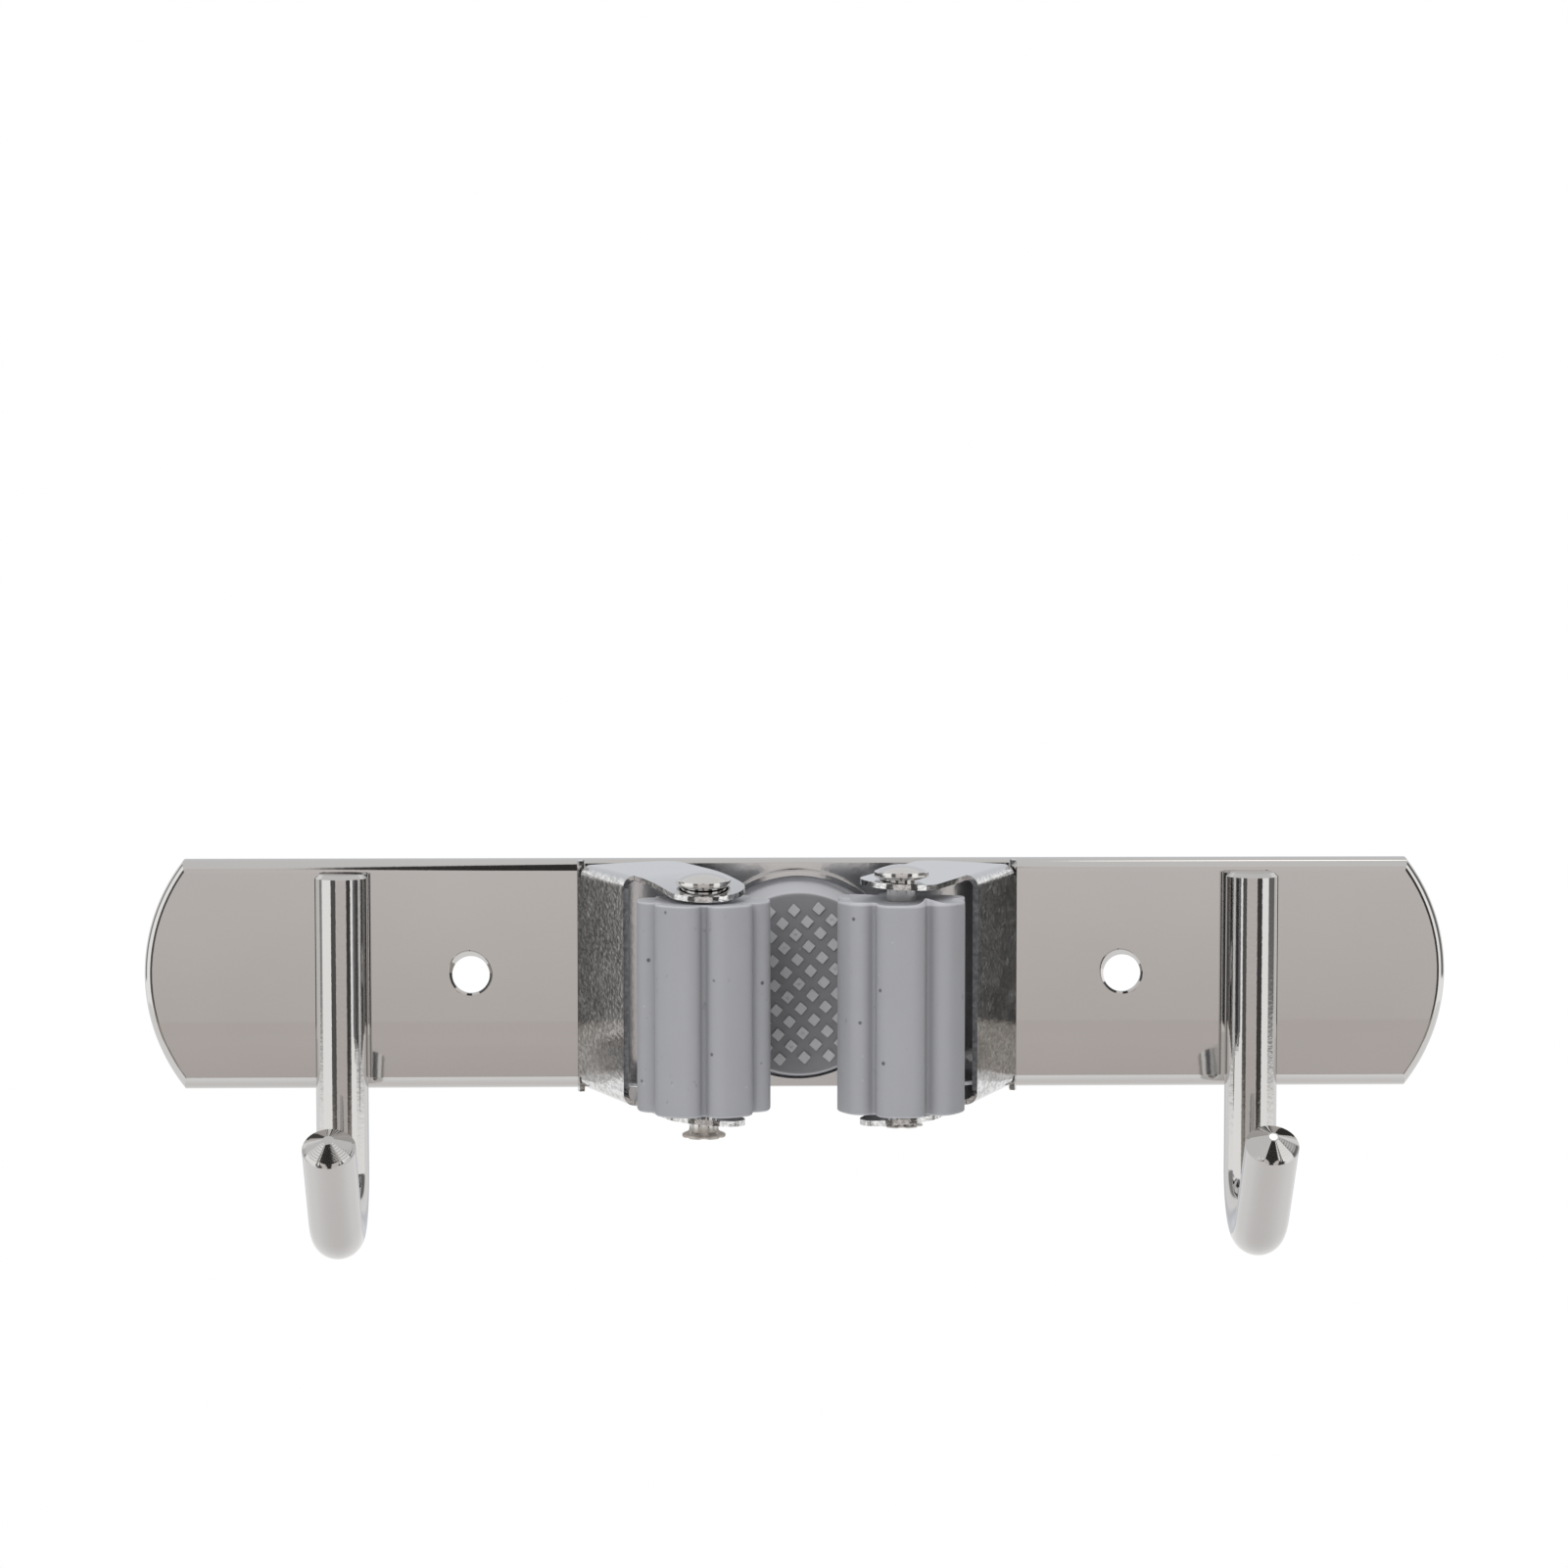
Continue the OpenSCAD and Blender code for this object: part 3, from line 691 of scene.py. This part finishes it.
def hook_tip(name, side, ridge, flat, facets):
    """ridge is the height of the turned rings, and flat the radius of the centre flat.
    facets are (middle, half width) of the flats that the cut left, in degrees from the front."""
    slope = TIP_CONE / (ROD_RADIUS - TIP_FLAT_RADIUS)
    radii = [flat * k / 3 for k in range(1, 4)]
    radii += [flat + (TIP_RIM - flat) * k / TIP_ROWS for k in range(1, TIP_ROWS + 1)]
    rings = []
    for radius in radii:
        cone = min(TIP_CONE, slope * (ROD_RADIUS - radius))
        fade = clipped((CUT_RIM - radius) / CUT_FADE)
        wave = 0.5 + 0.5 * cos(2 * pi * (radius - flat) / RING_PITCH) if radius > flat else 1.0
        base = TIP_LENGTH + TIP_PROUD * fade - (CUT_RIM_SINK if radius > CUT_RIM else 0.0)
        ring = []
        for x, y in circle(TIP_SIDES):
            angle = degrees(atan2(y, x))
            lift = 0.0
            for middle, half in facets:
                off = abs((angle - TIP_FRONT - middle + 180.0) % 360.0 - 180.0)
                within = clipped((half - off) / FACET_EDGE)
                lift = max(lift, within * slope * radius * (1.0 - cos(radians(off))) * fade)
            raised = ridge * fade * wave * max(0.0, cos(radians(angle - RING_SIDE)))
            ring.append((radius * x, radius * y, base + min(TIP_CONE, cone + lift) + raised))
        rings.append(ring)
    top, inside = TIP_LENGTH + TIP_CONE + TIP_PROUD, TIP_LENGTH - TIP_INSIDE
    points, faces = turned((0.0, 0.0, top), rings, (0.0, 0.0, inside))
    lean = Matrix.Rotation(radians(TIP_LEAN), 4, "X")
    foot = Vector((side * HOOK_SPACING / 2, ROD_Y - HOOK_BEND, BEND_HEIGHT))
    points = [foot + lean @ (Vector(p) + Vector((0.0, -HOOK_BEND, 0.0))) for p in points]
    thing = piece(name, points, faces, rod_steel, sharp=60.0)
    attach(thing, "rack")


hook_tip("left_hook_tip", -1, ridge=0.026, flat=0.5, facets=((5.0, 27.0), (-46.0, 22.0), (50.0, 16.0)))
hook_tip("right_hook_tip", 1, ridge=0.004, flat=0.95, facets=((-8.0, 21.0), (35.0, 20.0)))

# rivets: domed head, shank, and a split end flared into a star
RIVET_SIDES = 144
HEAD_ROWS = 10
CROWN_EDGE = 0.14
BRIM_EDGE = 0.35
COLLAR_RADII = (3.75, 3.7, 3.55, RIVET_RADIUS + 0.15)
COLLAR_START = 0.8
NECK_DROP = 1.1
# radius, height above the star's root, and depth of the split
SHANK_FOOT = ((RIVET_RADIUS, 1.3, 0.0), (RIVET_RADIUS, 1.1, 0.3), (RIVET_RADIUS + 0.02, 0.3, 0.6))
# radius, depth below the star's root, and depth of the split
FLARE = (
    (2.56, 0.04, 0.8),
    (2.9, 0.2, 1.0),
    (3.3, 0.36, 1.0),
    (3.55, 0.52, 1.0),
    (STAR_RADIUS, 0.68, 1.0),
    (STAR_RADIUS - 0.02, 0.86, 1.0),
    (3.42, 1.02, 1.0),
    (3.15, STAR_HEIGHT, 1.0),
    (2.4, STAR_HEIGHT, 0.5),
    (1.7, 1.07, 0.0),
    (1.44, 0.9, 0.0),
    (1.44, 0.3, 0.0),
    (1.1, 0.05, 0.0),
)
SLOT_HALF = 14.0
SLOT_ROOT = 2.35
SLOT_SHARE = 0.85
SLOT_LEAST = 0.16
SLOT_POWER = 0.6


def rivet_head(top, under):
    """Profile of the head, from its crown down to its brim."""
    dome = 0.5 * (top - under)
    crown = HEAD_RADIUS - CROWN_EDGE
    arch = (crown ** 2 + dome ** 2) / (2 * dome)
    radii = [crown * k / HEAD_ROWS for k in range(1, HEAD_ROWS + 1)]
    profile = [(radius, top - arch + sqrt(arch ** 2 - radius ** 2)) for radius in radii]
    profile += arc((crown, under + dome - CROWN_EDGE), CROWN_EDGE, 60, 0, 4)
    profile += arc((HEAD_RADIUS - BRIM_EDGE, under + BRIM_EDGE), BRIM_EDGE, 0, -90, 6)
    return profile


def rivet(name, side, arm, drop, tilt, clinch, collar):
    """drop lowers the head by the rivet's play, and tilt leans it forwards.
    clinch is the share of the star's height that stands out.
    collar is the depth of the ring under the head: its mean, and how much more at the front."""
    node = name.replace("_turned", "")
    low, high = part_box(node)
    top, foot = high[2] / MM - drop, low[2] / MM
    under, star = top - HEAD_HEIGHT - HEAD_DOME, foot + STAR_HEIGHT
    brim = rivet_head(top, under)
    head = brim + [(radius, under) for radius in COLLAR_RADII]
    neck = len(brim) + 1
    rows = [(radius, z, 0.0) for radius, z in head] + [(RIVET_RADIUS, under - NECK_DROP, 0.0)]
    rows += [(radius, star + above, split) for radius, above, split in SHANK_FOOT]
    rows += [(radius, star - clinch * below, split) for radius, below, split in FLARE]
    centre = Vector((side * ROLLER_X, ROLLER_Y, 0.0))
    heel = Vector((0.0, HEAD_RADIUS, under))
    lean = Matrix.Rotation(radians(tilt), 4, "X")

    def put(x, y, z, leans):
        point = Vector((x, y, z))
        return centre + (heel + lean @ (point - heel) if leans else point)

    rings = []
    for row, (radius, z, split) in enumerate(rows):
        in_head = row < len(head)
        sink = 0.0
        if in_head and row >= neck:
            sink = COLLAR_START if row == neck else 1.0
        ring = []
        for k, (x, y) in enumerate(circle(RIVET_SIDES)):
            off = abs((360.0 * k / RIVET_SIDES) % (360 / STAR_POINTS) - 180 / STAR_POINTS)
            slot = max(0.0, 1.0 - (off / SLOT_HALF) ** 2) ** SLOT_POWER
            reach = radius - split * slot * (max(radius - SLOT_ROOT, 0.0) * SLOT_SHARE + SLOT_LEAST)
            ring.append(put(reach * x, reach * y, z - sink * (collar[0] - collar[1] * y), in_head))
        rings.append(ring)
    points, faces = turned(put(0.0, 0.0, top, True), rings, put(0.0, 0.0, star, False))
    thing = piece(name, points, faces, rivet_steel, sharp=30.0)
    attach(thing, arm)
    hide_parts(node)


rivet("left_rivet_turned", -1, "left_arm", drop=0.0, tilt=5.0, clinch=1.0, collar=(0.20, 0.16))
rivet("right_rivet_turned", 1, "right_arm", drop=0.4, tilt=0.0, clinch=0.5, collar=(0.22, 0.0))

# screw holes: the low dished rim that the punch left round each one, wider at its top
RIM_SIDES = 96
RIM_PLAY = 0.004
RIM_DEPTH = 0.75
RIM_WIDENING = 1.3
RIM_WIDEST = 112.0
# distance from the hole and height over the plate, where the rim is narrowest
RIM_DISH = ((0.0, 0.0), (0.38, 0.13), (0.41, 0.13), (0.5, -0.02))
RIM_UNDERSIDE = (0.2, -0.1)


def hole_rim(name, side):
    rings = []
    for x, z in circle(RIM_SIDES):
        widest = max(0.0, cos(atan2(z, x) - radians(RIM_WIDEST)))
        width = 1.0 + RIM_WIDENING * widest ** 2
        section = [(0.0, -RIM_DEPTH)]
        section += [(out * width, high * width if high > 0 else high) for out, high in RIM_DISH]
        section.append(RIM_UNDERSIDE)
        ring = []
        for out, high in section:
            reach = HOLE_RADIUS + RIM_PLAY + out
            ring.append((side * HOLE_SPACING / 2 + reach * x, -PLATE_SHEET - high, reach * z))
        rings.append(ring)
    thing = piece(name, *looped(rings), plate_steel, sharp=15.0)
    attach(thing, "rack")


hole_rim("left_hole_rim", -1)
hole_rim("right_hole_rim", 1)

# stage: lengths in metres, with a pair of values where something starts and where it is full
WHITE = (1.0, 1.0, 1.0, 1.0)
CAMERA_PLACE = (-0.01838, -0.70098, 0.08497)
CAMERA_TILT = 85.758
CAMERA_TURN = -1.32
CAMERA_SENSOR = 36.0
CAMERA_LENS = 93.22
CAMERA_NEAREST = 0.05
OPENING_ANGLES = (36.5, 35.5)


def flat_mesh(name, corners, material):
    mesh = bpy.data.meshes.new(name)
    mesh.from_pydata(corners, [], [tuple(range(len(corners)))])
    mesh.materials.append(material)
    thing = bpy.data.objects.new(name, mesh)
    scene.collection.objects.link(thing)
    return thing


def turn_from_front(net, x, y):
    return net.math("DEGREES", net.math("ARCTAN2", x, net.times(y, -1.0)))


# floor: pale and plain, white to the camera; to reflections it glows, with a painted shadow under the object,
# a dark line in front and painted shade beyond it, which grows paler over a painted shadow line
FLOOR_LEVEL = -0.62
FLOOR_RADIUS = 2.5
FLOOR_SIDES = 64
FLOOR_MATT = (0.85, 0.85, 0.85, 1.0)
# painted shadow of the object: the glow is darker near the middle, under the object, than further out
SHADOWED_NEAR_FLOOR = (0.80, 0.785, 0.78, 1.0)
FAR_FLOOR = (0.93, 0.925, 0.92, 1.0)
FAR_FLOOR_START = (0.05, 0.75)
DARK_LINE = (0.10, 0.098, 0.095, 1.0)
DARK_LINE_START = (1.39, 1.44)
# painted shade in front: grey beyond the dark line, paler beyond a soft painted shadow line
GREY_FLOOR = (0.565, 0.525, 0.505, 1.0)
GREY_FLOOR_START = (1.52, 1.56)
PALE_GREY_FLOOR = (0.622, 0.579, 0.558, 1.0)
PALE_GREY_FLOOR_START = (1.68, 1.80)


def floor_material(name):
    material, net = empty_material(name)
    x, y, _ = net.parts(net.coordinate("Object"))
    away = net.math("SQRT", net.squares(x, y))
    front = net.step(net.math("ABSOLUTE", turn_from_front(net, x, y)), *OPENING_ANGLES)
    path = net.add("ShaderNodeLightPath").outputs
    # painted shade in front, with a painted shadow line to the paler grey
    grey = net.mix(net.step(away, *PALE_GREY_FLOOR_START), GREY_FLOOR, PALE_GREY_FLOOR)
    # painted shadow under the object, seen only in reflections
    glow = net.mix(net.step(away, *FAR_FLOOR_START), SHADOWED_NEAR_FLOOR, FAR_FLOOR)
    glow = net.mix(net.times(front, net.step(away, *DARK_LINE_START)), glow, DARK_LINE)
    glow = net.mix(net.times(front, net.step(away, *GREY_FLOOR_START)), glow, grey)
    glow = net.mix(path["Is Camera Ray"], glow, WHITE)
    mirrored = net.math("MAXIMUM", path["Is Glossy Ray"], path["Is Transmission Ray"])
    matt = net.add("ShaderNodeBsdfDiffuse", {"Color": FLOOR_MATT}).outputs["BSDF"]
    shown = net.add("ShaderNodeEmission", {"Color": glow, "Strength": 1.0}).outputs["Emission"]
    surface = net.add("ShaderNodeMixShader")
    net.put(surface.inputs["Fac"], net.math("MAXIMUM", path["Is Camera Ray"], mirrored))
    net.put(surface.inputs[1], matt)
    net.put(surface.inputs[2], shown)
    net.add("ShaderNodeOutputMaterial", {"Surface": surface.outputs["Shader"]})
    return material


floor_corners = [(FLOOR_RADIUS * x, FLOOR_RADIUS * y, FLOOR_LEVEL) for x, y in circle(FLOOR_SIDES)]
floor = flat_mesh("floor", floor_corners, floor_material("pale_floor"))

# screens: two dark strips with a tan hem beside the camera, seen only in reflections
SCREEN_LOW = -0.42
SCREEN_HIGH = 0.51
SCREEN_NEAR = 0.30
SCREEN_FAR = 0.66
HEM_START = (-0.145, -0.165)
HEM_TAN = (0.38, 0.35, 0.32, 1.0)


def screen(name, inner, outer, dark, pale):
    material, net = empty_material(name + "_cloth")
    place = net.coordinate("Object")
    weave = net.mix(net.noise(place, scale=60.0), shade(dark), shade(pale))
    hemmed = net.mix(net.step(net.parts(place)[2], *HEM_START), weave, HEM_TAN)
    cloth = net.add("ShaderNodeEmission", {"Color": hemmed, "Strength": 1.0})
    net.add("ShaderNodeOutputMaterial", {"Surface": cloth.outputs["Emission"]})
    left, right = CAMERA_PLACE[0] + inner, CAMERA_PLACE[0] + outer
    corners = ((left, SCREEN_LOW), (right, SCREEN_LOW), (right, SCREEN_HIGH), (left, SCREEN_HIGH))
    strip = flat_mesh(name, [(x, CAMERA_PLACE[1], z) for x, z in corners], material)
    strip.visible_camera = False
    strip.visible_diffuse = False
    strip.visible_shadow = False


screen("left_screen", -SCREEN_FAR, -SCREEN_NEAR, dark=(0.10, 0.098, 0.096), pale=(0.135, 0.133, 0.131))
screen("right_screen", SCREEN_NEAR, SCREEN_FAR, dark=(0.05, 0.049, 0.048), pale=(0.08, 0.078, 0.076))

# studio: a white tent with grey opening, dark poles and lens, and a bulb, in degrees from front and level
ROOF_RISE = (40.0, 34.0)
ROOF_WHITE = (0.78, 0.775, 0.77, 1.0)
TENT_WHITE = (1.15, 1.15, 1.14, 1.0)
TENT_SIDE_TURN = (112.0, 122.0)
TENT_SIDE_WHITE = (0.96, 0.96, 0.96, 1.0)
TENT_BACK_TURN = (140.0, 160.0)
TENT_BACK_BLUE = (0.68, 0.695, 0.73, 1.0)
POLE_RISE = (-9.0, -7.2)
LEFT_POLE_TURNS = ((-84.0, -91.0), (-122.0, -112.0))
LEFT_POLE_GREY = (0.32, 0.315, 0.31, 1.0)
RIGHT_POLE_TURNS = ((68.0, 75.0), (122.0, 112.0))
RIGHT_POLE_GREY = (0.19, 0.185, 0.18, 1.0)
ROOM_RISE = (-9.0, -4.5)
ROOM_LOW = (0.618, 0.575, 0.554, 1.0)
ROOM_HIGH = (0.735, 0.70, 0.682, 1.0)
LENS_TURN = -0.5
LENS_HALF_WIDTH = 6.0
LENS_RISE = 45.0
LENS_HALF_HEIGHT = 36.0
LENS_EDGE = (1.08, 0.92)
LENS_BLACK = (0.04, 0.038, 0.036, 1.0)
BULB_DIRECTION = (0.143, 0.085, 0.986)
BULB_EDGE = (0.9982, 0.9988)
BULB_GLOW = (2.4, 2.35, 2.3, 1.0)

world = bpy.data.worlds.new("studio")
scene.world = world
world.use_nodes = True
sky = Nodes(world.node_tree)
east, north, up = sky.parts(sky.coordinate("Generated"))
turn = turn_from_front(sky, east, north)
across = sky.math("ABSOLUTE", turn)
rise = sky.math("DEGREES", sky.math("ARCSINE", up))
below_roof = sky.step(rise, *ROOF_RISE)
sight = sky.mix(below_roof, ROOF_WHITE, TENT_WHITE)
sight = sky.mix(sky.times(sky.step(across, *TENT_SIDE_TURN), below_roof), sight, TENT_SIDE_WHITE)
sight = sky.mix(sky.times(sky.step(across, *TENT_BACK_TURN), below_roof), sight, TENT_BACK_BLUE)
pole_height = sky.times(sky.step(rise, *POLE_RISE), below_roof)
for (inner, outer), grey in ((LEFT_POLE_TURNS, LEFT_POLE_GREY), (RIGHT_POLE_TURNS, RIGHT_POLE_GREY)):
    pole = sky.times(sky.step(turn, *inner), sky.step(turn, *outer), pole_height)
    sight = sky.mix(pole, sight, grey)
room = sky.mix(sky.step(rise, *ROOM_RISE), ROOM_LOW, ROOM_HIGH)
sight = sky.mix(sky.times(sky.step(across, *OPENING_ANGLES), below_roof), sight, room)
lens_across = sky.times(sky.math("SUBTRACT", turn, LENS_TURN), 1.0 / LENS_HALF_WIDTH)
lens_up = sky.times(sky.math("SUBTRACT", rise, LENS_RISE), 1.0 / LENS_HALF_HEIGHT)
sight = sky.mix(sky.step(sky.squares(lens_across, lens_up), *LENS_EDGE), sight, LENS_BLACK)
bulb_across = sky.math("ADD", sky.times(east, BULB_DIRECTION[0]), sky.times(north, BULB_DIRECTION[1]))
bulb = sky.math("ADD", bulb_across, sky.times(up, BULB_DIRECTION[2]))
sight = sky.mix(sky.step(bulb, *BULB_EDGE), sight, BULB_GLOW)
seen = sky.mix(sky.add("ShaderNodeLightPath").outputs["Is Camera Ray"], sight, WHITE)
background = sky.add("ShaderNodeBackground", {"Color": seen, "Strength": 1.0})
sky.add("ShaderNodeOutputWorld", {"Surface": background.outputs["Background"]})


# lamps: one soft square light overhead and one beside the camera, which fill the matt pieces only
def soft_lamp(name, size, energy, place):
    data = bpy.data.lights.new(name, "AREA")
    data.size = size
    data.energy = energy
    lamp = bpy.data.objects.new(name, data)
    lamp.location = place
    lamp.rotation_euler = (-Vector(place)).to_track_quat("-Z", "Y").to_euler()
    lamp.visible_glossy = False
    scene.collection.objects.link(lamp)


soft_lamp("top_lamp", size=0.34, energy=0.9, place=(0.0, 0.16, 1.5))
soft_lamp("front_lamp", size=0.5, energy=5.5, place=(-0.25, -1.2, 0.55))

# camera at the photograph's place
camera = bpy.data.objects.new("camera", bpy.data.cameras.new("camera"))
scene.collection.objects.link(camera)
camera.location = CAMERA_PLACE
camera.rotation_euler = (radians(CAMERA_TILT), 0.0, radians(CAMERA_TURN))
camera.data.sensor_width = CAMERA_SENSOR
camera.data.lens = CAMERA_LENS
camera.data.clip_start = CAMERA_NEAREST
scene.camera = camera
scene.view_settings.view_transform = "Standard"
